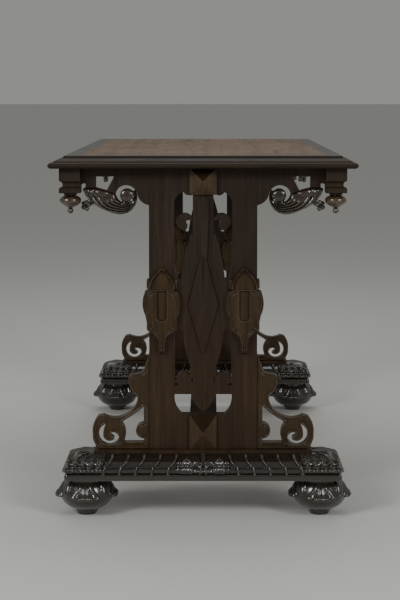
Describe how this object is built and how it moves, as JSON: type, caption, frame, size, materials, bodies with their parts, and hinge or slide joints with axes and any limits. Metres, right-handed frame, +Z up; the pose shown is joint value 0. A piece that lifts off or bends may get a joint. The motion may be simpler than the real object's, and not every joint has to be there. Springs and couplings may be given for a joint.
{
  "type": "communion table",
  "caption": "Carved oblong table on two pierced trestle ends with scroll brackets, moulded bases, bun feet and a low stretcher.",
  "frame": {"origin": "on the floor under the middle of the table", "axes": "+Z up, +Y along the table's length from the near trestle to the far one, +X across it"},
  "size_m": [0.646, 1.23, 0.762],
  "materials": {
    "field": "semi-gloss polished reddish-brown wood with fine straight grain",
    "border": "semi-gloss polished dark brown wood, mitred",
    "moulding": "glossy dark brown wood, worn on the edges",
    "trestle": "semi-gloss near-black brown wood",
    "carving": "glossy near-black brown carved wood",
    "raised_facets": "glossy dark brown wood in cut facets",
    "base": "glossy blackened carved wood",
    "feet": "glossy blackened carved wood",
    "pendants": "polished bronze-brown turned wood",
    "frame_rails": "plain dark wood, dull",
    "steel": "dull steel screws and bolts"
  },
  "bodies": {
    "root": {"border_far": "border", "border_left": "border", "border_near": "border", "border_right": "border", "corner_block_far_left": "trestle", "corner_block_far_right": "trestle", "corner_block_near_left": "trestle", "corner_block_near_right": "trestle", "far_base": "base", "far_bearer": "frame_rails", "far_bottom_tile": "raised_facets", "far_foot_left": "feet", "far_foot_right": "feet", "far_fret_panel": "trestle", "far_inner_boss": "raised_facets", "far_inner_cartouches": "carving", "far_outer_boss": "raised_facets", "far_outer_cartouches": "carving", "far_plinth": "trestle", "far_post_left": "trestle", "far_post_right": "trestle", "far_scroll_bracket_left": "trestle", "far_scroll_bracket_right": "trestle", "far_top_tile": "raised_facets", "far_upper_bracket_left": "trestle", "far_upper_bracket_right": "trestle", "far_volute_left": "carving", "far_volute_right": "carving", "field_panel": "field", "moulding_far": "moulding", "moulding_left": "moulding", "moulding_near": "moulding", "moulding_right": "moulding", "near_base": "base", "near_bearer": "frame_rails", "near_bottom_tile": "raised_facets", "near_foot_left": "feet", "near_foot_right": "feet", "near_fret_panel": "trestle", "near_inner_boss": "raised_facets", "near_inner_cartouches": "carving", "near_outer_boss": "raised_facets", "near_outer_cartouches": "carving", "near_plinth": "trestle", "near_post_left": "trestle", "near_post_right": "trestle", "near_scroll_bracket_left": "trestle", "near_scroll_bracket_right": "trestle", "near_top_tile": "raised_facets", "near_upper_bracket_left": "trestle", "near_upper_bracket_right": "trestle", "near_volute_left": "carving", "near_volute_right": "carving", "pendant_finials": "pendants", "side_rail_left": "frame_rails", "side_rail_right": "frame_rails", "stretcher": "frame_rails", "stretcher_bolts": "steel", "top_screws": "steel"}
  },
  "joints": []
}
